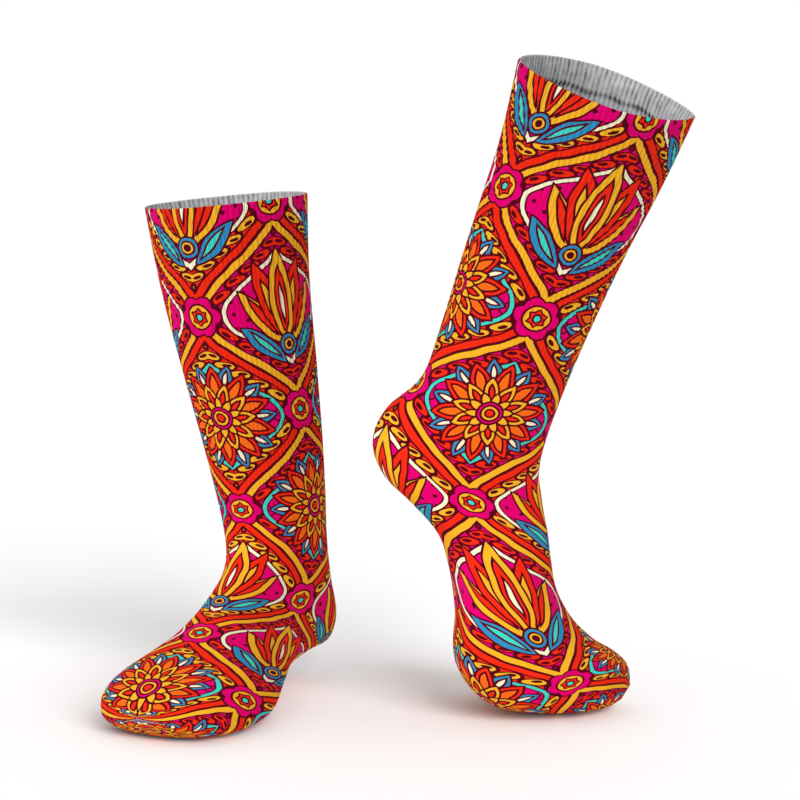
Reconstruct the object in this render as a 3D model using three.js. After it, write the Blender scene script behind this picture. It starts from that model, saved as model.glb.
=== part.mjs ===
// A pair of calf-high knitted socks, hollow and filled out as if worn.
// One stands on its sole, the other is up on the ball of the foot with its toes bent.
// Each sock is one knitted tube: a turned welt at the cuff, a ribbed leg, a heel pocket and a plain foot.
// Millimetres, +Z up. The origin is the middle of the standing sock's leg opening.
import * as THREE from "three";

// Cloth
const KNIT = 1.6;
const WELT = 2.6; // two layers where the cuff is turned in
const WELT_CROWN = 0.8; // how far the fold of the cuff stands above its flat edge
const RIBS = 96;
const RIB_HEIGHT = 0.5;

// Points round a section, on the ribbed leg and elsewhere
const RIBBED_POINTS = 2 * RIBS;
const PLAIN_POINTS = 40;

// Stations along the sock, as section numbers: a fraction lies that far between two rows of the tables
const WELT_END = 0.25;
const RIBS_FADE = 3; // from here the ribs sink into the foot's plain knit
const RIBS_END = 5;
const LEG_STATIONS = [0, WELT_END, 0.5, 1, 2, RIBS_FADE, 4, 4.5, RIBS_END];
const FOOT_STATIONS = [
  5.5, 6, 6.5, 7, 7.5, 8, 8.5, 9, 10, 11, 12, 12.5, 13, 13.5, 14, 14.5, 15, 15.5, 16, 16.5, 17,
];

const degrees = THREE.MathUtils.degToRad;

// Turns rows of values into objects with one named field for each column.
function table(columns, rows) {
  return rows.map((row) => Object.fromEntries(columns.map((name, i) => [name, row[i]])));
}

// How wide the knit is filled out, the same for both feet.
// inner and outer: half widths towards the other foot and away from it.
// waist: where the section is widest, as a share of the way from back to front.
// front and back: roundness of each half, 2 for an ellipse, more for a flatter sole.
// arch: lift of the sole on the inner side. shift: how far the section lies to the inner side.
const GIRTHS = table(
  ["inner", "outer", "waist", "front", "back", "arch", "shift"],
  [
    [57.5, 60.5, 0.5, 1.6, 1.7, 0, 0], // cuff
    [48, 53, 0.5, 1.85, 1.85, 0, 0], // calf
    [43.5, 44.5, 0.5, 2, 2, 0, 0],
    [40, 39, 0.5, 2, 2, 0, 0], // lower leg
    [36, 36, 0.5, 2, 2, 0, 0],
    [32, 34, 0.5, 2, 2, 0, 0], // ankle
    [29, 32, 0.48, 2, 2.1, 0, 0],
    [29, 31, 0.45, 2, 2.2, 0, 0], // heel pocket
    [28, 30, 0.42, 2, 2.4, 0, 0],
    [29, 32, 0.38, 2, 2.8, 4, 0],
    [34, 36, 0.36, 2, 3, 10, 2], // waist of the foot
    [44, 41.5, 0.35, 2, 3, 9, 4],
    [53.5, 47, 0.36, 2.1, 3, 2, 4],
    [55, 48, 0.4, 2.2, 3, 0, 3], // ball
    [50, 42.5, 0.44, 2.3, 2.8, 0, 2],
    [39, 32, 0.48, 2.3, 2.5, 0, 2], // toes
    [20.5, 17, 0.5, 2.2, 2.2, 0, 2],
    [2, 2, 0.5, 2, 2, 0, 2], // toe seam
  ],
);

// The front and the back of each section, seen from the side of the foot:
// length forward of the rear of the heel, and height above the ground.
const PATH = ["frontAt", "frontHeight", "backAt", "backHeight"];
const FLAT_FOOT = table(PATH, [
  [157, 330.3, 44.5, 345.7],
  [146, 273, 38, 290],
  [131, 216, 33, 230],
  [117, 168, 28, 177],
  [108, 135, 23, 134],
  [105, 116, 18, 96],
  [108, 102, 11, 63],
  [116, 92, 5, 38],
  [124.5, 85, 16.5, 23],
  [137, 75, 48.5, 21],
  [152, 66, 87, 17],
  [170, 57.5, 124, 8],
  [188, 50, 160, 0],
  [205, 43, 192, -2],
  [220, 36, 215.5, -1],
  [233, 28, 231.5, 3.5],
  [239, 20, 238.5, 11.5],
  [240.5, 17, 240.3, 15],
]);
const RAISED_FOOT = table(PATH, [
  [115.5, 383.5, 9, 415.5],
  [97.5, 343, -0.5, 372],
  [78, 303.5, -12, 335],
  [61, 264.5, -24, 297],
  [45.5, 225, -36.5, 256],
  [35, 194, -49, 223],
  [29, 172.5, -71.5, 202.5],
  [27.5, 158.5, -80.5, 181],
  [29, 147, -73.5, 159],
  [31, 134.5, -56, 141],
  [34, 119.5, -38, 119],
  [36.5, 101, -30.5, 94.5],
  [40.5, 81, -26.5, 65],
  [51, 61, -26, 32.5],
  [66, 46, -2, 6],
  [79.5, 38, 47.5, 0],
  [88, 30, 77, 3],
  [91, 18, 89.5, 13],
]);

// Where each foot is put down, which way its toes point, on which side its inner side lies,
// how far the leg leans to the inner side above the ankle, and how the cuff tips with it.
const STANDING = {
  x: -56.5,
  y: 48,
  heading: degrees(243.4),
  innerSide: 1,
  lean: degrees(-3.7),
  tip: degrees(-1.9),
  leanFrom: 60,
};
const TIPTOE = {
  x: 63,
  y: -77,
  heading: degrees(-0.6),
  innerSide: -1,
  lean: degrees(16),
  tip: degrees(18.3),
  leanFrom: 80,
};

// The section at a station, on a smooth curve through every value of the table's rows.
function sectionAt(rows, station) {
  const last = rows.length - 1;
  const i = Math.min(Math.floor(station), last - 1);
  const t = station - i;
  const [a, b, c, d] = [i - 1, i, i + 1, i + 2].map((n) => rows[THREE.MathUtils.clamp(n, 0, last)]);
  const value = (name) =>
    0.5 *
    (2 * b[name] +
      (c[name] - a[name]) * t +
      (2 * a[name] - 5 * b[name] + 4 * c[name] - d[name]) * t ** 2 +
      (3 * b[name] - a[name] - 3 * c[name] + d[name]) * t ** 3);
  return Object.fromEntries(Object.keys(b).map((name) => [name, value(name)]));
}

const signedPower = (value, power) => Math.sign(value) * Math.abs(value) ** power;

// A point of the sock's plain outside. The angle runs from the front over the inner side to the back.
function outsidePoint(sock, station, angle) {
  const s = sectionAt(sock.rows, station);
  const power = 2 / (Math.cos(angle) >= 0 ? s.front : s.back);
  const forward = signedPower(Math.cos(angle), power);
  const sideways = signedPower(Math.sin(angle), power);
  const share = s.waist + (forward >= 0 ? 1 - s.waist : s.waist) * forward;
  const across = new THREE.Vector2(s.frontAt - s.backAt, s.frontHeight - s.backHeight);
  const archLift = s.arch * Math.max(sideways, 0) ** 2 * Math.sqrt(Math.max(-forward, 0));
  const reach = share + archLift / across.length();
  const at = s.backAt + across.x * reach;
  let height = s.backHeight + across.y * reach;
  let side = (sideways >= 0 ? s.inner : s.outer) * sideways + s.shift;

  const { pose } = sock;
  const legShare = (s.backHeight - pose.leanFrom) / (sock.rows[0].backHeight - pose.leanFrom);
  const tip = pose.tip * THREE.MathUtils.clamp(legShare, 0, 1);
  height = Math.max(height - side * Math.sin(tip), 0);
  side = side * Math.cos(tip) + Math.max(height - pose.leanFrom, 0) * Math.tan(pose.lean);

  const toes = new THREE.Vector2(Math.cos(pose.heading), Math.sin(pose.heading));
  return new THREE.Vector3(
    pose.x + at * toes.x - side * pose.innerSide * toes.y,
    pose.y + at * toes.y + side * pose.innerSide * toes.x,
    height,
  );
}

// The outward direction there, from neighbouring points along and round the sock.
function outward(sock, station, angle) {
  const STEP = 0.25;
  const TURN = 0.02;
  const last = sock.rows.length - 1;
  const along = outsidePoint(sock, Math.min(station + STEP, last), angle).sub(
    outsidePoint(sock, Math.max(station - STEP, 0), angle),
  );
  const round = outsidePoint(sock, station, angle + TURN).sub(
    outsidePoint(sock, station, angle - TURN),
  );
  return round.cross(along).multiplyScalar(-sock.pose.innerSide).normalize();
}

// A ring of points at a station, each moved outward by offset(index).
function ring(sock, station, count, offset) {
  return Array.from({ length: count }, (_, i) => {
    const angle = (2 * Math.PI * i) / count;
    return outsidePoint(sock, station, angle).addScaledVector(
      outward(sock, station, angle),
      offset(i),
    );
  });
}

function ribbedRing(sock, station) {
  const fade = THREE.MathUtils.clamp((RIBS_END - station) / (RIBS_END - RIBS_FADE), 0, 1);
  return ring(sock, station, RIBBED_POINTS, (i) => (i % 2 === 0 ? RIB_HEIGHT * fade : 0));
}

// The folded top edge, midway through the welt and a little above it.
function crownRing(sock) {
  const edge = ring(sock, 0, PLAIN_POINTS, () => -WELT / 2);
  const below = ring(sock, WELT_END, PLAIN_POINTS, () => -WELT / 2);
  return edge.map((point, i) => {
    const up = point.clone().sub(below[i]).normalize();
    return point.addScaledVector(up, WELT_CROWN);
  });
}

// All rings of one sock in order: down the outside to the toe seam, and back up the inside.
function sockRings(sock) {
  const inside = (station, wall) => ring(sock, station, PLAIN_POINTS, () => -wall);
  const stations = [...LEG_STATIONS, ...FOOT_STATIONS];
  const toeSeam = sock.rows.length - 1;
  return [
    ...LEG_STATIONS.map((station) => ribbedRing(sock, station)),
    ...FOOT_STATIONS.map((station) => ring(sock, station, PLAIN_POINTS, () => 0)),
    [outsidePoint(sock, toeSeam, 0).lerp(outsidePoint(sock, toeSeam, Math.PI), 0.5)],
    [ring(sock, toeSeam, 1, () => -KNIT)[0].lerp(ring(sock, toeSeam, 2, () => -KNIT)[1], 0.5)],
    ...stations
      .filter((station) => station >= WELT_END)
      .reverse()
      .map((station) => inside(station, KNIT)),
    inside(WELT_END, WELT),
    inside(0, WELT),
    crownRing(sock),
  ];
}

// Triangles between two neighbouring rings of vertex numbers, which may differ in count.
function stitch(faces, a, b) {
  const at = (numbers, i) => numbers[i % numbers.length];
  let i = 0;
  let j = 0;
  const aSteps = a.length === 1 ? 0 : a.length;
  const bSteps = b.length === 1 ? 0 : b.length;
  while (i < aSteps || j < bSteps) {
    const stepA = j === bSteps || (i < aSteps && (i + 0.5) / aSteps <= (j + 0.5) / bSteps);
    if (stepA) faces.push([at(a, i), at(a, i + 1), at(b, j)]);
    else faces.push([at(a, i), at(b, j + 1), at(b, j)]);
    if (stepA) i += 1;
    else j += 1;
  }
}

// One closed body through all the rings, the last joined to the first.
function bodyGeometry(rings, turned) {
  const points = rings.flat();
  let next = 0;
  const numbered = rings.map((points) => points.map(() => next++));
  const faces = [];
  numbered.forEach((numbers, i) => {
    const following = numbered[(i + 1) % numbered.length];
    if (numbers.length > 1 || following.length > 1) stitch(faces, numbers, following);
  });
  const index = turned ? faces.map(([a, b, c]) => [a, c, b]) : faces;
  const geometry = new THREE.BufferGeometry().setFromPoints(points);
  geometry.setIndex(index.flat());
  geometry.computeVertexNormals();
  return geometry;
}

function makeSock(name, path, pose) {
  const rows = GIRTHS.map((girth, i) => ({ ...girth, ...path[i] }));
  const sock = { rows, pose };
  const knit = new THREE.MeshStandardMaterial({ color: 0xd8402a, roughness: 0.95, metalness: 0 });
  const mesh = new THREE.Mesh(bodyGeometry(sockRings(sock), pose.innerSide > 0), knit);
  mesh.name = name;
  const opening = outsidePoint(sock, 0, 0).lerp(outsidePoint(sock, 0, Math.PI), 0.5);
  return { mesh, opening };
}

const standing = makeSock("standing_sock", FLAT_FOOT, STANDING);
const tiptoe = makeSock("tiptoe_sock", RAISED_FOOT, TIPTOE);

const pair = new THREE.Group();
pair.add(standing.mesh, tiptoe.mesh);
pair.position.copy(standing.opening).negate();

export default pair;
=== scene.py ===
"""A pair of calf-high knitted socks, filled out as if worn: one stands, one is up on its toes."""
import math
from types import SimpleNamespace

import bmesh
import bpy
import numpy as np
from bpy.props import FloatProperty, FloatVectorProperty, IntProperty, PointerProperty
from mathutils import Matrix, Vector


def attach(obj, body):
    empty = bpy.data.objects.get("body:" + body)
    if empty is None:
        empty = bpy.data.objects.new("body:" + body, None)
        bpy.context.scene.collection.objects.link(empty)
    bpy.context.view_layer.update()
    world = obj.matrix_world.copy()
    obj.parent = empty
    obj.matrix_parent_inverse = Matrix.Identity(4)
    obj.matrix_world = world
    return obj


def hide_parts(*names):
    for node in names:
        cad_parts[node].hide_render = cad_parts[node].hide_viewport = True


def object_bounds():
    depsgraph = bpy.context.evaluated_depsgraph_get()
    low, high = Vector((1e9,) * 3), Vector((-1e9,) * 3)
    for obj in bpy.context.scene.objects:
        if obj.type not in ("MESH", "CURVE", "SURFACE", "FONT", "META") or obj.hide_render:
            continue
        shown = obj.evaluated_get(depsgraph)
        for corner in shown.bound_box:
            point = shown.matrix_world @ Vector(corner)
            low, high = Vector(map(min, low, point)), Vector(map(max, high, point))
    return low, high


bl_info = {
    "name": "Pair of printed socks",
    "version": (1, 0, 0),
    "blender": (4, 5, 0),
    "location": "3D View > Sidebar > Socks",
    "description": "Knits a pair of printed socks round the packed model and sets up its studio",
    "category": "Add Mesh",
}

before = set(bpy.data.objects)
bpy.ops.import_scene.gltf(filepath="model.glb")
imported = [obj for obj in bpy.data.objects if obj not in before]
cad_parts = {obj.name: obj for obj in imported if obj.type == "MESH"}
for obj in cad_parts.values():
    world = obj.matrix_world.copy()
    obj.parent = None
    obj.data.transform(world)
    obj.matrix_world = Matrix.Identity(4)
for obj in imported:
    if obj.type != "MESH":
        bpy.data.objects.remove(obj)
MODEL_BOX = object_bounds()

MM = 0.001

# Shape of the socks, in millimetres

KNIT = 1.6
WELT = 2.6
EDGE = 1.4  # the pressed fold at the very top of the cuff
EDGE_LENGTH = 6
RIBS_FADE = 3
RIBS_END = 5


def table(columns, *rows):
    """Rows of values as one array for each named column."""
    return {name: np.array(column, float) for name, column in zip(columns.split(), zip(*rows))}


def named_rows(columns, *rows):
    """Rows of values as one record each, with a field for each named column."""
    return [SimpleNamespace(**dict(zip(columns.split(), row))) for row in rows]


# How wide the knit is filled out, the same for both feet.
# inner and outer: half widths towards the other foot and away from it.
# waist: where the section is widest, as a share of the way from back to front.
# front and back: roundness of each half, 2 for an ellipse, more for a flatter sole.
# arch: lift of the sole on the inner side. shift: how far the section lies to the inner side.
GIRTHS = table(
    "inner outer waist front back arch shift",
    (57.5, 60.5, 0.5, 1.6, 1.7, 0, 0),  # cuff
    (48, 53, 0.5, 1.85, 1.85, 0, 0),  # calf
    (43.5, 44.5, 0.5, 2, 2, 0, 0),
    (40, 39, 0.5, 2, 2, 0, 0),  # lower leg
    (36, 36, 0.5, 2, 2, 0, 0),
    (32, 34, 0.5, 2, 2, 0, 0),  # ankle
    (29, 32, 0.48, 2, 2.1, 0, 0),
    (29, 31, 0.45, 2, 2.2, 0, 0),  # heel pocket
    (28, 30, 0.42, 2, 2.4, 0, 0),
    (29, 32, 0.38, 2, 2.8, 4, 0),
    (34, 36, 0.36, 2, 3, 10, 2),  # waist of the foot
    (44, 41.5, 0.35, 2, 3, 9, 4),
    (53.5, 47, 0.36, 2.1, 3, 2, 4),
    (55, 48, 0.4, 2.2, 3, 0, 3),  # ball
    (50, 42.5, 0.44, 2.3, 2.8, 0, 2),
    (39, 32, 0.48, 2.3, 2.5, 0, 2),  # toes
    (20.5, 17, 0.5, 2.2, 2.2, 0, 2),
    (2, 2, 0.5, 2, 2, 0, 2),  # toe seam
)

# The front and the back of each section, seen from the side of the foot:
# length forward of the rear of the heel, and height above the ground.
PATH = "front_at front_height back_at back_height"
FLAT_FOOT = table(
    PATH,
    (157, 330.3, 44.5, 345.7),
    (146, 273, 38, 290),
    (131, 216, 33, 230),
    (117, 168, 28, 177),
    (108, 135, 23, 134),
    (105, 116, 18, 96),
    (108, 102, 11, 63),
    (116, 92, 5, 38),
    (124.5, 85, 16.5, 23),
    (137, 75, 48.5, 21),
    (152, 66, 87, 17),
    (170, 57.5, 124, 8),
    (188, 50, 160, 0),
    (205, 43, 192, -2),
    (220, 36, 215.5, -1),
    (233, 28, 231.5, 3.5),
    (239, 20, 238.5, 11.5),
    (240.5, 17, 240.3, 15),
)
RAISED_FOOT = table(
    PATH,
    (115.5, 383.5, 9, 415.5),
    (97.5, 343, -0.5, 372),
    (78, 303.5, -12, 335),
    (61, 264.5, -24, 297),
    (45.5, 225, -36.5, 256),
    (35, 194, -49, 223),
    (29, 172.5, -71.5, 202.5),
    (27.5, 158.5, -80.5, 181),
    (29, 147, -73.5, 159),
    (31, 134.5, -56, 141),
    (34, 119.5, -38, 119),
    (36.5, 101, -30.5, 94.5),
    (40.5, 81, -26.5, 65),
    (51, 61, -26, 32.5),
    (66, 46, -2, 6),
    (79.5, 38, 47.5, 0),
    (88, 30, 77, 3),
    (91, 18, 89.5, 13),
)

# Where each foot is put down, which way its toes point, on which side its inner side lies,
# how far the leg leans to the inner side above the ankle, and how the cuff tips with it.
STANDING = SimpleNamespace(
    name="standing_sock",
    path=FLAT_FOOT,
    x=-56.5,
    y=48,
    heading=math.radians(243.4),
    inner_side=1,
    lean=math.radians(-3.7),
    tip=math.radians(-1.9),
    lean_from=60,
)
TIPTOE = SimpleNamespace(
    name="tiptoe_sock",
    path=RAISED_FOOT,
    x=63,
    y=-77,
    heading=math.radians(-0.6),
    inner_side=-1,
    lean=math.radians(16),
    tip=math.radians(18.3),
    lean_from=80,
)
TOE_SEAM = len(GIRTHS["inner"]) - 1
RING_POINTS = 40  # points of a section that its smooth outline goes through
STEPS_PER_POINT = 12  # of the smooth outline, between two of those points
FINE_STATIONS = 681  # for measuring lengths along the sock

# Rows of stitches in the mesh, from the toe up the outside, over the cuff and down the inside
OUTSIDE_ROWS = 112
CROWN_ROWS = 6
WELT_ROWS = 24
INSIDE_ROWS = 58
GREY_FROM_ROW = OUTSIDE_ROWS + CROWN_ROWS // 2
WELT_ROWS_END = 26  # how far below the cuff the close rows go
POINTS_PER_RIB = 5
WELT_STEP = 1.8  # over what length the turned layer ends
WELT_WAVES = named_rows("count start height", (5, 0, 0.8), (13, 1, 0.6))  # round its uneven end
TROUGH = 0.35  # how far the inside dips between the ribs
TROUGH_START = 4  # over what length below the cuff the dips begin
NORMAL_STEP = 0.25  # how far apart the stations are that a direction is taken from

# The knit's own texture, in millimetres
WALES_PER_RIB = 3
STITCH_LENGTH = 1.2
STITCH_DEPTH = 0.3
LOOP_SHARE = 0.65  # how much of the depth lies between loops, the rest between columns
ROUGHNESS = 0.92
LOOP_SMOOTHNESS = 0.12  # how much smoother the knit is on top of its loops

# Uneven painted shade in the grooves: shares of darkness that each one has, and its changes across and
# along the knit
GROOVE_OWN_SHARE = 0.4
GROOVE_LEAST_SHARE = 0.1
GROOVE_DRIFT = (0.8, 0.06)
FIBRES_ALONG = 0.9  # fibres for each millimetre

# Darkening of the grey inside: painted shade in its rib grooves, a painted shadow where the turned
# layer ends, and random patches and fibres
HEM_SHADOW = 2.4  # half the width of the soft painted shadow line where the turned layer ends
PATCH_SCALE = 0.12  # size of the fibres against that of the wide patches
# painted shade in the grooves between the inside ribs
INSIDE_RIB_SHADE = 0.45
INSIDE_PATCHES = 0.5
INSIDE_LEAST = 0.3  # shade where there is no patch
INSIDE_FIBRES = 0.25
# how dark the painted shadow line is on the rib grooves and in the patches
HEM_SHADOW_ON_RIBS = 0.25
HEM_SHADOW_IN_PATCHES = 0.45


def section_at(pose, station):
    """The sections at some stations, on smooth curves through the rows of the tables."""
    first = np.minimum(np.floor(station), TOE_SEAM - 1).astype(int)
    t = station - first

    def value(column):
        a, b, c, d = (column[np.clip(first + n, 0, TOE_SEAM)] for n in (-1, 0, 1, 2))
        square = 2 * a - 5 * b + 4 * c - d
        cube = 3 * b - a - 3 * c + d
        return 0.5 * (2 * b + (c - a) * t + square * t**2 + cube * t**3)

    return SimpleNamespace(**{name: value(col) for name, col in {**GIRTHS, **pose.path}.items()})


def signed_power(value, power):
    return np.sign(value) * np.abs(value) ** power


def outside_points(pose, station, angle):
    """Points of a sock's plain outside.

    The angle runs from the front over the inner side to the back.
    """
    station, angle = np.broadcast_arrays(np.asarray(station, float), np.asarray(angle, float))
    s = section_at(pose, station)
    power = 2 / np.where(np.cos(angle) >= 0, s.front, s.back)
    forward = signed_power(np.cos(angle), power)
    sideways = signed_power(np.sin(angle), power)
    share = s.waist + np.where(forward >= 0, 1 - s.waist, s.waist) * forward
    across = (s.front_at - s.back_at, s.front_height - s.back_height)
    arch_lift = s.arch * np.maximum(sideways, 0) ** 2 * np.sqrt(np.maximum(-forward, 0))
    reach = share + arch_lift / np.hypot(*across)
    at = s.back_at + across[0] * reach
    height = s.back_height + across[1] * reach
    side = np.where(sideways >= 0, s.inner, s.outer) * sideways + s.shift

    top = pose.path["back_height"][0]
    tip = pose.tip * np.clip((s.back_height - pose.lean_from) / (top - pose.lean_from), 0, 1)
    height = np.maximum(height - side * np.sin(tip), 0)
    side = side * np.cos(tip) + np.maximum(height - pose.lean_from, 0) * np.tan(pose.lean)
    side = side * pose.inner_side
    toe_x, toe_y = math.cos(pose.heading), math.sin(pose.heading)
    x = pose.x + at * toe_x - side * toe_y
    y = pose.y + at * toe_y + side * toe_x
    return np.stack((x, y, height), axis=-1)


def coarse_rings(pose, station):
    """One ring of points for each station, from the back round to the back again."""
    angle = np.linspace(-math.pi, math.pi, RING_POINTS + 1)
    return outside_points(pose, np.asarray(station, float)[:, None], angle[None, :])


def smooth_rings(pose, station, columns):
    """Even points on smooth closed curves through the rings, and their distance from the front."""
    coarse = coarse_rings(pose, station)[:, :-1]
    place = np.linspace(0, RING_POINTS, STEPS_PER_POINT * RING_POINTS + 1)
    first = np.floor(place).astype(int)
    t = (place - first)[None, :, None]
    a, b, c, d = (coarse[:, (first + n) % RING_POINTS] for n in (-1, 0, 1, 2))
    square = 2 * a - 5 * b + 4 * c - d
    cube = 3 * b - a - 3 * c + d
    curve = 0.5 * (2 * b + (c - a) * t + square * t**2 + cube * t**3)
    curve[..., 2] = np.maximum(curve[..., 2], 0)
    steps = np.linalg.norm(np.diff(curve, axis=1), axis=2)
    walked = np.concatenate((np.zeros((len(curve), 1)), np.cumsum(steps, axis=1)), axis=1)
    share = np.linspace(-0.5, 0.5, columns + 1)
    points = np.empty((len(curve), columns + 1, 3))
    for line, distance, ring in zip(points, walked, curve):
        target = (distance[len(distance) // 2] + share * distance[-1]) % distance[-1]
        for axis in range(3):
            line[:, axis] = np.interp(target, distance, ring[:, axis])
    return points, walked[:, -1:] * share


def outward(pose, station, columns):
    """The outward directions there, from neighbouring points along and round the sock."""
    after, _ = smooth_rings(pose, np.minimum(station + NORMAL_STEP, TOE_SEAM), columns)
    before, _ = smooth_rings(pose, np.maximum(station - NORMAL_STEP, 0), columns)
    ring, _ = smooth_rings(pose, station, columns)
    ring = ring[:, :-1]
    around = np.roll(ring, -POINTS_PER_RIB, axis=1) - np.roll(ring, POINTS_PER_RIB, axis=1)
    around = np.concatenate((around, around[:, :1]), axis=1)
    normal = np.cross(around, after - before) * -pose.inner_side
    return normal / np.linalg.norm(normal, axis=-1, keepdims=True)


def opening_centre(pose):
    return outside_points(pose, 0, (0, math.pi)).mean(axis=0)


def distance_below_cuff(pose, station):
    """Distance along the middle of the sock from its cuff to some stations."""
    fine = np.linspace(0, TOE_SEAM, FINE_STATIONS)
    middle = outside_points(pose, fine[:, None], np.array([0, math.pi])).mean(axis=1, keepdims=True)
    return np.interp(station, fine, lengths_below_cuff(middle)[:, 0])


def stations_between(pose, near, far, count):
    """Stations an even distance apart, from one distance below the cuff to another."""
    fine = np.linspace(0, TOE_SEAM, FINE_STATIONS)
    length = distance_below_cuff(pose, fine)
    return np.interp(np.linspace(near, min(far, length[-1]), count), length, fine)


def smooth_step(value):
    value = np.clip(value, 0, 1)
    return value * value * (3 - 2 * value)


def angle_wave(angle, sine):
    """The uneven edge of the turned welt, in millimetres."""
    first, second = (sine(angle * wave.count + wave.start) * wave.height for wave in WELT_WAVES)
    return first + second


def lengths_below_cuff(points):
    """Distance from the cuff along each line of points, for rows that start at the cuff."""
    steps = np.linalg.norm(np.diff(points, axis=0), axis=2)
    return np.concatenate((np.zeros((1, points.shape[1])), np.cumsum(steps, axis=0)))


def wall_rows(pose, knit):
    """For each row its station, and the share of the way round of each column.

    For each point also its depth under the plain outside and its rise over the cuff.
    """
    columns = knit.ribs * POINTS_PER_RIB
    share = np.linspace(-0.5, 0.5, columns + 1)[None, :]
    angle = 2 * math.pi * share
    ribs = 0.5 + 0.5 * np.cos(knit.ribs * angle)

    def rib_share(station):
        return np.clip((RIBS_END - station) / (RIBS_END - RIBS_FADE), 0, 1)[:, None]

    outside = stations_between(pose, 0, math.inf, OUTSIDE_ROWS)[::-1]
    close = stations_between(pose, 0, WELT_ROWS_END, WELT_ROWS)
    wide = stations_between(pose, WELT_ROWS_END, math.inf, INSIDE_ROWS + 1)[1:]
    inside = np.concatenate((close, wide))

    crest = knit.rib_height / MM * ribs * rib_share(outside)
    below = distance_below_cuff(pose, inside)[:, None]
    edge = knit.welt / MM + angle_wave(angle + math.pi, np.sin)
    thickness = KNIT + (WELT - KNIT) * (1 - smooth_step((below - edge) / WELT_STEP + 0.5))
    thickness = thickness - (WELT - EDGE) * (1 - smooth_step(below / EDGE_LENGTH))
    trough = TROUGH * (1 - ribs) * rib_share(inside) * smooth_step(below / TROUGH_START)

    turn = np.linspace(0, math.pi, CROWN_ROWS + 2)[1:-1, None]
    crown_in = EDGE * (0.5 - 0.5 * np.cos(turn)) - crest[-1] * (0.5 + 0.5 * np.cos(turn))
    rise = np.sin(turn) * knit.crown / MM * np.ones_like(angle)
    station = np.concatenate((outside, np.zeros(CROWN_ROWS), inside))
    depth = np.concatenate((-crest, crown_in, thickness - trough))
    flat_outside, flat_inside = (np.zeros((len(rows), columns + 1)) for rows in (outside, inside))
    lift = np.concatenate((flat_outside, rise, flat_inside))
    return station, share, depth, lift


def knit_points(pose, knit):
    """All points of the wall, and each one's place on the cloth.

    The place is the distance round and along, the rib, and how strong the ribs are there.
    """
    station, share, depth, lift = wall_rows(pose, knit)
    columns = share.shape[1] - 1
    plain, around = smooth_rings(pose, station, columns)
    points = plain - outward(pose, station, columns) * depth[..., None]
    cuff, below = (smooth_rings(pose, np.array([place]), columns)[0] for place in (0.0, 0.5))
    up = (cuff - below) / np.linalg.norm(cuff - below, axis=-1, keepdims=True)
    points = points + up * lift[..., None]
    for seam in (0, -1):
        points[seam] = points[seam].mean(axis=0)

    fine = np.linspace(0, TOE_SEAM, FINE_STATIONS)
    ends = lengths_below_cuff(outside_points(pose, fine[:, None], np.array([0, math.pi])))
    front, back = (np.interp(station, fine, line)[:, None] for line in ends.T)
    front_share = 0.5 + 0.5 * np.cos(2 * math.pi * share)
    own_length = back + (front - back) * front_share
    middle = distance_below_cuff(pose, station)[:, None]
    along = middle + knit.heel_ease * (own_length - middle) - lift
    rib = knit.ribs * (share + 0.5) * np.ones_like(along)
    strength = np.clip(1 - station / (RIBS_END + 1), 0, 1)[:, None] * np.ones_like(along)
    return points, around, along, rib, strength


def knit_sock(pose, knit, centre):
    """One sock as one closed wall, from a grid whose rows run along it and whose columns run round it.

    The print goes over the top of the cuff, and the grey begins on its inner side.
    """
    points, around, along, rib, strength = knit_points(pose, knit)
    points = (points - centre) * MM
    rows, columns = points.shape[0] - 1, points.shape[1] - 1
    mesh = bpy.data.meshes.new(pose.name + "_knit")
    bm = bmesh.new()
    bmesh.ops.create_grid(bm, x_segments=columns, y_segments=rows, size=0.5)
    cloth = bm.loops.layers.uv.new("cloth")
    ribbing = bm.loops.layers.uv.new("ribbing")
    bm.verts.ensure_lookup_table()
    place = {}
    for vertex in bm.verts:
        column = round((vertex.co.x + 0.5) * columns)
        row = round((vertex.co.y + 0.5) * rows)
        place[vertex.index] = (row, column)
        vertex.co = points[row, column]
    for face in bm.faces:
        face.smooth = True
        face.material_index = int(min(place[v.index][0] for v in face.verts) >= GREY_FROM_ROW)
        for loop in face.loops:
            at = place[loop.vert.index]
            loop[cloth].uv = (around[at], along[at])
            loop[ribbing].uv = (rib[at], strength[at])
    bmesh.ops.remove_doubles(bm, verts=bm.verts, dist=1e-6)
    bmesh.ops.recalc_face_normals(bm, faces=bm.faces)
    bm.to_mesh(mesh)
    bm.free()
    sock = bpy.data.objects.new(pose.name + "_knit", mesh)
    bpy.context.scene.collection.objects.link(sock)
    return sock


class Wire:
    """A number in a node tree, with which sums can be written as in any formula."""

    def __init__(self, tree, socket):
        self.tree = tree
        self.socket = socket

    def math(self, operation, *others):
        node = self.tree.nodes.new("ShaderNodeMath")
        node.operation = operation
        for place, value in enumerate((self, *others)):
            feed(self.tree, node.inputs[place], value)
        return Wire(self.tree, node.outputs[0])

    def __add__(self, other):
        return self.math("ADD", other)

    def __sub__(self, other):
        return self.math("SUBTRACT", other)

    def __mul__(self, other):
        return self.math("MULTIPLY", other)

    def __truediv__(self, other):
        return self.math("DIVIDE", other)

    def __abs__(self):
        return self.math("ABSOLUTE")

    def __lt__(self, other):
        return self.math("LESS_THAN", other)

    def __gt__(self, other):
        return self.math("GREATER_THAN", other)

    def wrapped(self, low, high):
        return self.math("WRAP", high, low)

    def floor(self):
        return self.math("FLOOR")

    def sin(self):
        return self.math("SINE")

    def cos(self):
        return self.math("COSINE")

    def power(self, exponent):
        return self.math("POWER", exponent)


def feed(tree, socket, value):
    """Links a wire or an output to a socket, or sets a plain value on it."""
    if isinstance(value, Wire):
        value = value.socket
    if isinstance(value, bpy.types.NodeSocket):
        tree.links.new(value, socket)
    else:
        socket.default_value = value


def hypotenuse(a, b):
    return (a * a + b * b).math("SQRT")


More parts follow.
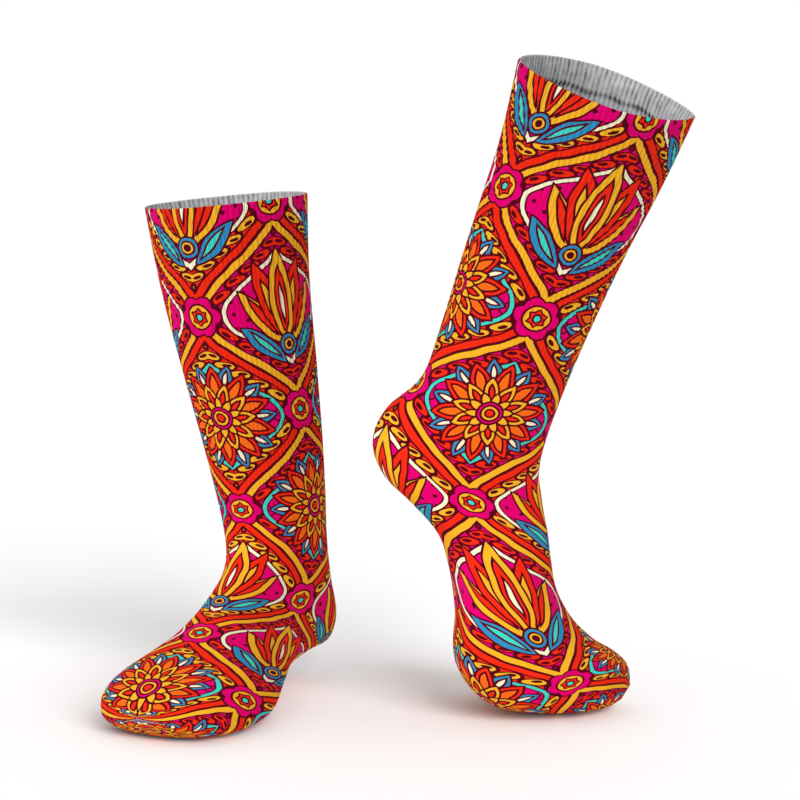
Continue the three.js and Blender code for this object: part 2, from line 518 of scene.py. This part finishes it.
def blended(near, far, share):
    """The near number where the share is 0, the far one where it is 1."""
    return (far - near).math("MULTIPLY_ADD", share, near)


def vector(tree, x, y):
    node = tree.nodes.new("ShaderNodeCombineXYZ")
    feed(tree, node.inputs["X"], x)
    feed(tree, node.inputs["Y"], y)
    return node.outputs[0]


def parts(tree, socket):
    node = tree.nodes.new("ShaderNodeSeparateXYZ")
    tree.links.new(socket, node.inputs[0])
    return Wire(tree, node.outputs["X"]), Wire(tree, node.outputs["Y"])


def mixed(tree, below, above, share):
    """A colour between two others."""
    node = tree.nodes.new("ShaderNodeMix")
    node.data_type = "RGBA"
    feed(tree, node.inputs["Factor"], share)
    feed(tree, node.inputs[6], below)
    feed(tree, node.inputs[7], above)
    return node.outputs[2]


def new_group(name, inputs, outputs):
    """A shader node group, with its inputs as wires or sockets by name."""
    tree = bpy.data.node_groups.new(name, "ShaderNodeTree")
    kinds = {"number": "NodeSocketFloat", "vector": "NodeSocketVector", "colour": "NodeSocketColor"}
    for direction, sockets in (("INPUT", inputs), ("OUTPUT", outputs)):
        for socket_name, kind in sockets.items():
            tree.interface.new_socket(socket_name, in_out=direction, socket_type=kinds[kind])
    start = tree.nodes.new("NodeGroupInput")
    end = tree.nodes.new("NodeGroupOutput")
    given = {
        name: Wire(tree, start.outputs[name]) if kind == "number" else start.outputs[name]
        for name, kind in inputs.items()
    }
    return tree, given, end.inputs


def place_group(tree, group, **values):
    """A node that uses a group, with its inputs set or linked by name."""
    node = tree.nodes.new("ShaderNodeGroup")
    node.node_tree = group
    for name, value in values.items():
        feed(tree, node.inputs[name.replace("_", " ").capitalize()], value)
    return node


def leaf_group():
    """Distance outside a leaf, an almond between two tips, made of two arcs."""
    tree, given, out = new_group(
        "leaf",
        {"Point": "vector", "Middle": "vector", "Turn": "vector", "Pull": "vector", "Arc": "number"},
        {"Distance": "number"},
    )
    turned = tree.nodes.new("ShaderNodeMapping")
    turned.vector_type = "TEXTURE"
    tree.links.new(given["Point"], turned.inputs["Vector"])
    tree.links.new(given["Middle"], turned.inputs["Location"])
    tree.links.new(given["Turn"], turned.inputs["Rotation"])
    folded = tree.nodes.new("ShaderNodeVectorMath")
    folded.operation = "ABSOLUTE"
    tree.links.new(turned.outputs[0], folded.inputs[0])
    pulled = tree.nodes.new("ShaderNodeVectorMath")
    tree.links.new(folded.outputs[0], pulled.inputs[0])
    tree.links.new(given["Pull"], pulled.inputs[1])
    length = tree.nodes.new("ShaderNodeVectorMath")
    length.operation = "LENGTH"
    tree.links.new(pulled.outputs[0], length.inputs[0])
    distance = Wire(tree, length.outputs["Value"]) - given["Arc"]
    feed(tree, out["Distance"], distance)
    return tree


def ink_group(colour):
    """Lays a filled shape with an inked outline over a colour."""
    tree, given, out = new_group(
        "inked_shape",
        {"Below": "colour", "Distance": "number", "Fill": "colour", "Line": "number"},
        {"Colour": "colour"},
    )
    inked = mixed(tree, given["Below"], colour, given["Distance"] < given["Line"])
    filled = mixed(tree, inked, given["Fill"], given["Distance"] + given["Line"] < 0)
    feed(tree, out["Colour"], filled)
    return tree


# The print, in millimetres on the cloth

LINE = 0.65  # half the width of the inked outlines

# The garland along the frame: a row of round leaves, each with a dark seed
GARLAND_STEP = 9.4
GARLAND_EASE = 3.9  # evens out the steps along the slanted frame
LEAF_RADIUS = 4.3
LEAF_SQUASH = 1.12  # how much flatter a leaf is across the frame
LEAVES_IN = 10.4  # how far in from the edge of the field the leaves lie
SEED_RADIUS = 1.7
SEEDS_IN = 9.4

# Bands of the frame round each field, painted from the inmost: how far in each reaches, and its colour
FRAME_BANDS = named_rows(
    "reach colour",
    (18.9, "ink"),
    (17.8, "piping"),
    (15.1, "ink"),
    (13.9, "garland"),
    (6.2, "ink"),
    (5.1, "border"),
    (1.0, "ink"),
)

# The right half of a tulip: leaves and petals from tip to tip, measured from the middle of the field
TULIP = named_rows(
    "start_x start_y end_x end_y half_width colour",
    (4, -37, 33, -9, 6.2, "blue"),
    (8, -33, 27, -13, 2.2, "teal"),
    (2, -26, 31, 15, 6.6, "yellow"),
    (8, -17, 25, 10, 2.6, "red"),
    (0, -24, 18, 33, 7.8, "red"),
    (5, -10, 14, 21, 2.8, "yellow"),
    (0, -27, 0, 41, 9.4, "yellow"),
    (0, -18, 0, 29, 4.8, "red"),
    (0, -10, 0, 17, 2.0, "cream"),
)
TULIP_BASE = -25
TULIP_KNOB = named_rows("radius colour", (7.4, "blue"), (4.4, "yellow"), (1.9, "ink"))

# A daisy's rings of petals, by how many half steps each is turned and where its petals start and end
DAISY_PETALS = 10
DAISY = named_rows(
    "half_steps start end half_width colour",
    (1, 12, 39, 5.6, "blue"),
    (1, 22, 35, 1.8, "cream"),
    (0, 6, 37, 6.2, "red"),
    (0, 12, 32, 3.2, "orange"),
    (1, 4, 25, 4.6, "yellow"),
    (1, 9, 20, 1.9, "red"),
    (0, 4, 15, 2.7, "yellow"),
)
DAISY_EYE = named_rows("radius colour", (8.0, "magenta"), (5.6, "yellow"), (3.0, "red"))

# The rosette where frames cross: radius, how far its lobes stand out, and its colour
ROSETTE_LOBES = 6
ROSETTE = named_rows(
    "radius lobes colour",
    (12, 2.8, "magenta"),
    (8.6, 0, "yellow"),
    (6.4, -1.8, "red"),
    (2.6, 0, "teal"),
)

# How the hand-drawn lines wander, as waves for each millimetre
WANDER = 0.09


class Painting:
    """A colour in a node tree that inked shapes are laid on, one over the other."""

    def __init__(self, tree, ink, palette, ground):
        self.tree, self.ink, self.palette, self.colour = tree, ink, palette, ground

    def lay(self, distance, colour):
        values = {"distance": distance, "fill": self.palette[colour], "line": LINE}
        node = place_group(self.tree, self.ink, below=self.colour, **values)
        self.colour = node.outputs["Colour"]

    def lay_leaf(self, leaf, point, start, end, half_width, colour):
        length, angle = math.dist(start, end), math.atan2(end[1] - start[1], end[0] - start[0])
        pull = ((length / 2) ** 2 - half_width**2) / (2 * half_width)
        middle = ((start[0] + end[0]) / 2, (start[1] + end[1]) / 2, 0)
        turn, pulled, arc = (0, 0, angle), (0, pull, 0), pull + half_width
        node = place_group(
            self.tree, leaf, point=point, middle=middle, turn=turn, pull=pulled, arc=arc
        )
        self.lay(node.outputs["Distance"], colour)


def dotted_ground(tree, x, y, palette):
    """Small dots in staggered columns."""
    step, radius = 9, 1.4
    dot_x = x.wrapped(-step / 2, step / 2)
    dot_y = (y + (x / step + 0.5).floor() * (step / 2)).wrapped(-step / 2, step / 2)
    return mixed(tree, palette["magenta"], palette["ink"], hypotenuse(dot_x, dot_y) < radius)


def scaled_ground(tree, x, y, palette):
    """Rows of thin overlapping arcs."""
    width, height, radius, line = 10, 6.5, 5.3, 0.6
    arc_x = (x + (y / height).floor() * (width / 2)).wrapped(-width / 2, width / 2)
    distance = abs(hypotenuse(arc_x, y.wrapped(0, height)) - radius)
    return mixed(tree, palette["magenta"], palette["ink"], distance < line)


def garland_band(tree, along, edge, even, palette):
    """Round leaves with dark seeds along the frame, yellow on red or red on magenta."""
    step = along.wrapped(-GARLAND_STEP / 2, GARLAND_STEP / 2)
    leaf = hypotenuse(step, (edge - LEAVES_IN) * LEAF_SQUASH) - LEAF_RADIUS
    seed = hypotenuse(step, edge - SEEDS_IN)
    ground = mixed(tree, palette["magenta"], palette["red"], even)
    filling = mixed(tree, palette["red"], palette["yellow"], even)
    band = mixed(tree, ground, palette["ink"], leaf < LINE)
    band = mixed(tree, band, filling, leaf < -LINE)
    return mixed(tree, band, palette["ink"], seed < SEED_RADIUS)


def print_group(palette, look, leaf, ink):
    """The colour of the print: pointed fields with tulips or daisies, framed by garlands."""
    inputs = {"Around": "number", "Along": "number"}
    tree, given, out = new_group("tulip_and_daisy_print", inputs, {"Colour": "colour"})
    width, height = look.field_width / MM, look.field_height / MM
    around, along = hand_drawn(tree, given["Around"], given["Along"], look.wobble / MM)

    turn = 2 * math.pi / height
    even_x, even_y = abs(around.wrapped(-width / 2, width / 2)), along.wrapped(-height / 2, height / 2)
    odd_x = abs((around + width / 2).wrapped(-width / 2, width / 2))
    odd_y = (along + height / 2).wrapped(-height / 2, height / 2)
    even = even_x < ((even_y * turn).cos() + 1) * (width / 4)
    x, y = blended(odd_x, even_x, even), blended(odd_y, even_y, even)
    row = blended((along / height).floor(), (along / height + 0.5).floor(), even)
    is_daisy = row.wrapped(0, 2) > 0.5

    slope = (y * turn).sin() * (width / 4 * turn)
    half_width = ((y * turn).cos() + 1) * (width / 4)
    edge = (half_width - x) / (slope * slope + 1).math("SQRT")
    dotted, scaled = dotted_ground(tree, x, y, palette), scaled_ground(tree, x, y, palette)
    colour = mixed(tree, dotted, scaled, is_daisy)
    garland_place = y - (y * (2 * turn)).sin() * GARLAND_EASE
    garland = garland_band(tree, garland_place, edge, even, palette)
    piping = mixed(tree, palette["cream"], palette["teal"], is_daisy)
    border = mixed(tree, palette["yellow"], palette["red"], even)
    bands = {**palette, "garland": garland, "piping": piping, "border": border}
    for band in FRAME_BANDS:
        colour = mixed(tree, colour, bands[band.colour], edge < band.reach)

    tulip = Painting(tree, ink, palette, colour)
    upright = y * -1
    point = vector(tree, x, upright)
    for row in TULIP:
        start, end = (row.start_x, row.start_y), (row.end_x, row.end_y)
        tulip.lay_leaf(leaf, point, start, end, row.half_width, row.colour)
    from_base = hypotenuse(x, upright - TULIP_BASE)
    for knob in TULIP_KNOB:
        tulip.lay(from_base - knob.radius, knob.colour)

    daisy = Painting(tree, ink, palette, colour)
    radius, angle = hypotenuse(x, y), x.math("ARCTAN2", y)
    half_step = math.pi / DAISY_PETALS
    petal_points = []
    for half_steps in (0, 1):
        folded = (angle + half_step * half_steps).wrapped(-half_step, half_step)
        petal_points.append(vector(tree, folded.cos() * radius, folded.sin() * radius))
    for ring in DAISY:
        point = petal_points[ring.half_steps]
        daisy.lay_leaf(leaf, point, (ring.start, 0), (ring.end, 0), ring.half_width, ring.colour)
    for eye in DAISY_EYE:
        daisy.lay(radius - eye.radius, eye.colour)

    crossings = Painting(tree, ink, palette, mixed(tree, tulip.colour, daisy.colour, is_daisy))
    up = abs(y)
    from_end, from_side = hypotenuse(x, up - height / 2), hypotenuse(x - width / 2, up)
    at_end = from_end < from_side
    rosette_x = x - width / 2 + at_end * (width / 2)
    rosette_y = up - at_end * (height / 2)
    lobes = abs((rosette_y.math("ARCTAN2", rosette_x) * (ROSETTE_LOBES / 2)).cos())
    distance = from_end.math("MINIMUM", from_side)
    for ring in ROSETTE:
        crossings.lay(distance - lobes * ring.lobes - ring.radius, ring.colour)
    feed(tree, out["Colour"], crossings.colour)
    return tree


def hand_drawn(tree, around, along, wobble):
    """The place on the cloth, a little off, so that the print's lines are not ruler straight."""
    noise = tree.nodes.new("ShaderNodeTexNoise")
    noise.noise_dimensions = "2D"
    noise.inputs["Scale"].default_value = WANDER
    noise.inputs["Detail"].default_value = 0
    tree.links.new(vector(tree, around, along), noise.inputs["Vector"])
    split = tree.nodes.new("ShaderNodeSeparateColor")
    tree.links.new(noise.outputs["Color"], split.inputs[0])
    shifts = (Wire(tree, split.outputs[channel]) - 0.5 for channel in ("Red", "Green"))
    return [place + shift * (4 * wobble) for place, shift in zip((around, along), shifts)]


def stitch_group():
    """Height of the knit's stitches: columns of small slanted loops."""
    inputs = {"Rib": "number", "Along": "number", "Columns": "number"}
    tree, given, out = new_group("knit_stitches", inputs, {"Height": "number"})
    across = abs((given["Rib"] * given["Columns"]).wrapped(-0.5, 0.5))
    leg = (across - 0.25) * (across - 0.25) * -16 + 1
    loop = ((given["Along"] / STITCH_LENGTH - across) * (2 * math.pi)).cos() * 0.5 + 0.5
    feed(tree, out["Height"], leg * (loop * LOOP_SHARE + (1 - LOOP_SHARE)))
    return tree


def painted_groove_shade_group():
    """Painted shade in the grooves between ribs or columns of stitches, each groove a little
    different.
    """
    inputs = {"Rib": "number", "Along": "number", "Columns": "number"}
    tree, given, out = new_group("knit_painted_groove_shade", inputs, {"Groove": "number"})
    place = given["Rib"] * given["Columns"]
    groove = ((place * (2 * math.pi)).cos() * -0.5 + 0.5).power(2)
    own = tree.nodes.new("ShaderNodeTexWhiteNoise")
    own.noise_dimensions = "1D"
    feed(tree, own.inputs["W"], place.floor())
    drift = tree.nodes.new("ShaderNodeTexNoise")
    drift.noise_dimensions = "2D"
    drift.inputs["Scale"].default_value = 1
    drift_across, drift_along = GROOVE_DRIFT
    drift_place = vector(tree, place * drift_across, given["Along"] * drift_along)
    tree.links.new(drift_place, drift.inputs["Vector"])
    share = Wire(tree, own.outputs["Value"]) * GROOVE_OWN_SHARE + Wire(tree, drift.outputs["Fac"])
    feed(tree, out["Groove"], groove * (share + GROOVE_LEAST_SHARE))
    return tree


def fuzz_group():
    """Fine fibres of the yarn, from 0 to 1."""
    tree, given, out = new_group("knit_fuzz", {"Rib": "number", "Along": "number"}, {"Fuzz": "number"})
    fibres = tree.nodes.new("ShaderNodeTexNoise")
    fibres.noise_dimensions = "2D"
    fibres.inputs["Scale"].default_value = 1
    fibres.inputs["Detail"].default_value = 3
    fibres.inputs["Roughness"].default_value = 0.7
    place = vector(tree, given["Rib"] * (2 * WALES_PER_RIB), given["Along"] * FIBRES_ALONG)
    tree.links.new(place, fibres.inputs["Vector"])
    feed(tree, out["Fuzz"], fibres.outputs["Fac"])
    return tree


def cloth_place(tree):
    """Round, along, rib number and rib strength, from the two maps that the knit carries."""
    places = []
    for name in ("cloth", "ribbing"):
        node = tree.nodes.new("ShaderNodeUVMap")
        node.uv_map = name
        places.extend(parts(tree, node.outputs["UV"]))
    return places


def knit_material(name, look, stitches, colour_of):
    """A matt knitted material, whose colour a function makes from the place on the cloth."""
    material = bpy.data.materials.new(name)
    material.use_nodes = True
    tree = material.node_tree
    shader = tree.nodes["Principled BSDF"]
    around, along, rib, strength = cloth_place(tree)
    feed(tree, shader.inputs["Base Color"], colour_of(tree, around, along, rib, strength))
    shader.inputs["Specular IOR Level"].default_value = 0.03
    shader.inputs["Sheen Weight"].default_value = look.sheen
    shader.inputs["Sheen Roughness"].default_value = 0.5
    height = place_group(tree, stitches, rib=rib, along=along, columns=float(WALES_PER_RIB)).outputs[0]
    feed(tree, shader.inputs["Roughness"], Wire(tree, height) * -LOOP_SMOOTHNESS + ROUGHNESS)
    bump = tree.nodes.new("ShaderNodeBump")
    bump.inputs["Strength"].default_value = look.stitch_relief
    bump.inputs["Distance"].default_value = STITCH_DEPTH * MM
    tree.links.new(height, bump.inputs["Height"])
    tree.links.new(bump.outputs["Normal"], shader.inputs["Normal"])
    return material


def darkened(tree, colour, share):
    """A colour towards black by a share that changes over the cloth."""
    return mixed(tree, colour, (0.0, 0.0, 0.0, 1.0), share)


def printed_knit(look, stitches, grooves, fuzz):
    """The outside: the print, with shade painted in the grooves between ribs and columns of stitches,
    and darker at random among its fibres.
    """
    palette = palette_of(look)
    artwork = print_group(palette, look, leaf_group(), ink_group(palette["ink"]))

    def colour_of(tree, around, along, rib, strength):
        drawn = place_group(tree, artwork, around=around, along=along).outputs["Colour"]
        at = {"rib": rib, "along": along}
        rib_groove_shade = place_group(tree, grooves, **at, columns=1.0).outputs["Groove"]
        wale = place_group(tree, grooves, **at, columns=float(WALES_PER_RIB)).outputs["Groove"]
        fibres = place_group(tree, fuzz, **at).outputs["Fuzz"]
        # painted shade in the grooves between ribs and between columns of stitches, fading down the
        # leg with the ribs; the fibres darken at random
        shade = Wire(tree, rib_groove_shade) * look.painted_rib_shade + Wire(tree, wale) * look.painted_wale_shade
        return darkened(tree, drawn, shade * strength + Wire(tree, fibres) * look.fuzz_shade)

    return knit_material("printed_knit", look, stitches, colour_of)


def grey_knit(look, knit, stitches, grooves, fuzz):
    """The inside: uneven grey ribs in wide patches with painted shade in their grooves, and a painted
    shadow line where the turned layer ends.
    """

    def colour_of(tree, around, along, rib, strength):
        at = {"rib": rib, "along": along}
        rib_groove_shade = Wire(tree, place_group(tree, grooves, **at, columns=1.0).outputs["Groove"])
        fibres = Wire(tree, place_group(tree, fuzz, **at).outputs["Fuzz"])
        angle = rib * (2 * math.pi / knit.ribs)
        wave = angle_wave(angle, lambda value: value.sin())
        # painted shadow along the uneven edge where the turned layer ends
        from_hem = abs(along - wave - knit.welt / MM)
        painted_hem_shadow = (from_hem / -HEM_SHADOW + 1).math("MAXIMUM", 0.0)
        wide = {"rib": rib * PATCH_SCALE, "along": along * PATCH_SCALE}
        patches = Wire(tree, place_group(tree, fuzz, **wide).outputs["Fuzz"])
        # painted shade in the rib grooves, uneven in the random patches, and fibres darker at random
        dips = rib_groove_shade * strength * INSIDE_RIB_SHADE + patches * INSIDE_PATCHES
        shade = dips * (patches + INSIDE_LEAST) + fibres * INSIDE_FIBRES
        shade = shade + painted_hem_shadow * (rib_groove_shade * HEM_SHADOW_ON_RIBS + patches * HEM_SHADOW_IN_PATCHES)
        return darkened(tree, (*linear(look.inside), 1.0), shade)

    return knit_material("grey_inside", look, stitches, colour_of)


def linear(colour):
    """A colour as the eye sees it, turned into the amounts of light that shaders take."""
    return tuple(c / 12.92 if c <= 0.04045 else ((c + 0.055) / 1.055) ** 2.4 for c in colour)


def palette_of(look):
    """The print's inks, a little darker than they look, because the white stage lights them fully."""
    return {
        name: (*(share * look.ink_strength for share in linear(getattr(look, name))), 1.0)
        for name in ("ink", "red", "orange", "yellow", "magenta", "teal", "blue", "cream")
    }


def plain_material(name, colour):
    material = bpy.data.materials.new(name)
    material.use_nodes = True
    shader = material.node_tree.nodes["Principled BSDF"]
    shader.inputs["Base Color"].default_value = (*colour, 1)
    shader.inputs["Roughness"].default_value = 0.9
    return material


class KnitSettings(bpy.types.PropertyGroup):
    ribs: IntProperty(
        name="Ribs", description="Number of ribs round the leg", default=96, min=20, max=160
    )
    rib_height: FloatProperty(
        name="Rib height", description="How far the ribs stand out", default=0.0005, unit="LENGTH"
    )
    welt: FloatProperty(
        name="Welt", description="How far the cuff is turned in", default=0.0145, unit="LENGTH"
    )
    crown: FloatProperty(
        name="Crown",
        description="How far the fold of the cuff stands above its flat edge",
        default=0.0008,
        unit="LENGTH",
    )
    heel_ease: FloatProperty(
        name="Heel ease",
        description="How far the print follows the longer way over the heel",
        default=0.35,
    )


def ink_property(name, default):
    return FloatVectorProperty(
        name=name, description="Ink of the print", subtype="COLOR_GAMMA", default=default
    )


class LookSettings(bpy.types.PropertyGroup):
    field_width: FloatProperty(
        name="Field width", description="Width of the print's fields", default=0.118, unit="LENGTH"
    )
    field_height: FloatProperty(
        name="Field height", description="Height of the print's fields", default=0.142, unit="LENGTH"
    )
    wobble: FloatProperty(
        name="Wobble", description="How far the drawn lines wander", default=0.0004, unit="LENGTH"
    )
    ink: ink_property("Outlines", (0.34, 0.02, 0.09))
    red: ink_property("Red", (0.95, 0.17, 0.07))
    orange: ink_property("Orange", (0.99, 0.43, 0.09))
    yellow: ink_property("Yellow", (0.98, 0.71, 0.16))
    magenta: ink_property("Magenta", (0.9, 0, 0.44))
    teal: ink_property("Teal", (0.25, 0.84, 0.78))
    blue: ink_property("Blue", (0.18, 0.56, 0.75))
    cream: ink_property("Cream", (0.98, 0.95, 0.81))
    inside: FloatVectorProperty(
        name="Inside",
        description="Colour of the inside",
        subtype="COLOR_GAMMA",
        default=(0.87, 0.87, 0.88),
    )
    ink_strength: FloatProperty(
        name="Ink strength", description="Brightness of the print", default=0.97, subtype="FACTOR"
    )
    # strength of the painted shade in the grooves between the leg's ribs
    painted_rib_shade: FloatProperty(
        name="Rib shade",
        description="Darkness between the ribs of the leg",
        default=0.2,
        subtype="FACTOR",
    )
    # strength of the painted shade between the leg's columns of stitches
    painted_wale_shade: FloatProperty(
        name="Wale shade",
        description="Darkness between the leg's columns of stitches",
        default=0.46,
        subtype="FACTOR",
    )
    fuzz_shade: FloatProperty(
        name="Fuzz shade", description="Darkness between the fibres", default=0.12, subtype="FACTOR"
    )
    stitch_relief: FloatProperty(
        name="Stitch relief",
        description="Strength of the stitches' relief",
        default=0.5,
        subtype="FACTOR",
    )
    sheen: FloatProperty(
        name="Sheen", description="Soft shine of the knit", default=0.01, subtype="FACTOR"
    )


# The camera, in metres, and how far it is turned down
CAMERA_AT = (0.11769, -1.21596, -0.0506)
CAMERA_DOWN = math.radians(3.99)
CAMERA_LENS = 80.15  # millimetres, on a sensor 36 mm wide
FLOOR_SIZE = 20
FLOOR_GAP = 0.0005


class StudioSettings(bpy.types.PropertyGroup):
    sock_light: FloatProperty(
        name="Sock light", description="Strength of the light on the socks", default=2.0
    )
    sock_light_softness: FloatProperty(
        name="Sock light softness",
        description="Angle that the light on the socks fills",
        default=math.radians(60),
        subtype="ANGLE",
    )
    sock_light_from: FloatVectorProperty(
        name="Sock light from",
        description="Where the light on the socks stands",
        subtype="XYZ",
        default=(-0.6, -1.0, 0.65),
    )
    floor_light: FloatProperty(
        name="Floor light", description="Strength of the light on the floor", default=2.7
    )
    floor_light_softness: FloatProperty(
        name="Floor light softness",
        description="Angle that the light on the floor fills",
        default=math.radians(36),
        subtype="ANGLE",
    )
    floor_light_from: FloatVectorProperty(
        name="Floor light from",
        description="Where the light on the floor stands",
        subtype="XYZ",
        default=(0.55, -1.0, 0.6),
    )
    sky: FloatProperty(name="Sky", description="Strength of the even light", default=0.7)
    floor_colour: FloatVectorProperty(
        name="Floor", description="Colour of the floor", subtype="COLOR", default=(0.95, 0.95, 0.95)
    )


def white_world(strength):
    """An even light from all round, which the camera itself sees as pure white."""
    world = bpy.data.worlds.new("studio")
    world.use_nodes = True
    tree = world.node_tree
    rays = tree.nodes.new("ShaderNodeLightPath")
    seen = Wire(tree, rays.outputs["Is Camera Ray"]) * (1 - strength) + strength
    tree.nodes["Background"].inputs["Color"].default_value = (1, 1, 1, 1)
    feed(tree, tree.nodes["Background"].inputs["Strength"], seen)
    return world


def hang_light(name, strength, softness, stands, lit):
    """A distant soft light that reaches only some objects, though all objects can stand in its way."""
    light = bpy.data.lights.new(name, "SUN")
    light.energy = strength
    light.angle = softness
    lamp = bpy.data.objects.new(name, light)
    lamp.rotation_euler = (-Vector(stands)).to_track_quat("-Z", "Y").to_euler()
    bpy.context.scene.collection.objects.link(lamp)
    reached = bpy.data.collections.new(name + "_reaches")
    for thing in lit:
        reached.objects.link(thing)
    lamp.light_linking.receiver_collection = reached


class SOCKS_OT_knit(bpy.types.Operator):
    """Knits both socks in the place of their plain solids"""

    bl_idname = "socks.knit"
    bl_label = "Knit the socks"

    def execute(self, context):
        knit = context.scene.sock_knit
        centre = opening_centre(STANDING)
        look = context.scene.sock_look
        stitches, grooves, fuzz = stitch_group(), painted_groove_shade_group(), fuzz_group()
        outside = printed_knit(look, stitches, grooves, fuzz)
        inside = grey_knit(look, knit, stitches, grooves, fuzz)
        for pose in (STANDING, TIPTOE):
            sock = knit_sock(pose, knit, centre)
            sock.data.materials.append(outside)
            sock.data.materials.append(inside)
            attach(sock, "root")
            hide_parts(pose.name)
        return {"FINISHED"}


class SOCKS_OT_stage(bpy.types.Operator):
    """Lays the floor, hangs the lights and sets the camera"""

    bl_idname = "socks.stage"
    bl_label = "Set the stage"

    def execute(self, context):
        studio = context.scene.sock_studio
        ground = MODEL_BOX[0].z
        bm = bmesh.new()
        bmesh.ops.create_grid(bm, x_segments=1, y_segments=1, size=FLOOR_SIZE)
        bmesh.ops.translate(bm, verts=bm.verts, vec=(0, 0, ground - FLOOR_GAP))
        mesh = bpy.data.meshes.new("floor")
        bm.to_mesh(mesh)
        bm.free()
        floor = bpy.data.objects.new("floor", mesh)
        context.scene.collection.objects.link(floor)
        floor.data.materials.append(plain_material("floor_paint", studio.floor_colour))

        context.scene.world = white_world(studio.sky)
        socks = [bpy.data.objects[pose.name + "_knit"] for pose in (STANDING, TIPTOE)]
        softness, place = studio.sock_light_softness, studio.sock_light_from
        hang_light("sock_light", studio.sock_light, softness, place, socks)
        softness, place = studio.floor_light_softness, studio.floor_light_from
        hang_light("floor_light", studio.floor_light, softness, place, [floor])

        data = bpy.data.cameras.new("camera")
        data.lens = CAMERA_LENS
        data.sensor_width = 36
        camera = bpy.data.objects.new("camera", data)
        camera.location = CAMERA_AT
        camera.rotation_euler = (math.pi / 2 - CAMERA_DOWN, 0, 0)
        context.scene.collection.objects.link(camera)
        context.scene.camera = camera
        context.scene.view_settings.view_transform = "Standard"
        return {"FINISHED"}


class SOCKS_PT_panel(bpy.types.Panel):
    bl_label = "Socks"
    bl_idname = "SOCKS_PT_panel"
    bl_space_type = "VIEW_3D"
    bl_region_type = "UI"
    bl_category = "Socks"

    def draw(self, context):
        for settings in (context.scene.sock_knit, context.scene.sock_look, context.scene.sock_studio):
            for name in settings.__annotations__:
                self.layout.prop(settings, name)
        for operator in OPERATORS:
            self.layout.operator(operator.bl_idname)


OPERATORS = (SOCKS_OT_knit, SOCKS_OT_stage)
CLASSES = (KnitSettings, LookSettings, StudioSettings, *OPERATORS, SOCKS_PT_panel)


def register():
    for cls in CLASSES:
        bpy.utils.register_class(cls)
    bpy.types.Scene.sock_knit = PointerProperty(type=KnitSettings)
    bpy.types.Scene.sock_look = PointerProperty(type=LookSettings)
    bpy.types.Scene.sock_studio = PointerProperty(type=StudioSettings)


def unregister():
    del bpy.types.Scene.sock_studio
    del bpy.types.Scene.sock_look
    del bpy.types.Scene.sock_knit
    for cls in reversed(CLASSES):
        bpy.utils.unregister_class(cls)


def main():
    register()
    bpy.ops.socks.knit()
    bpy.ops.socks.stage()


if __name__ == "__main__":
    main()
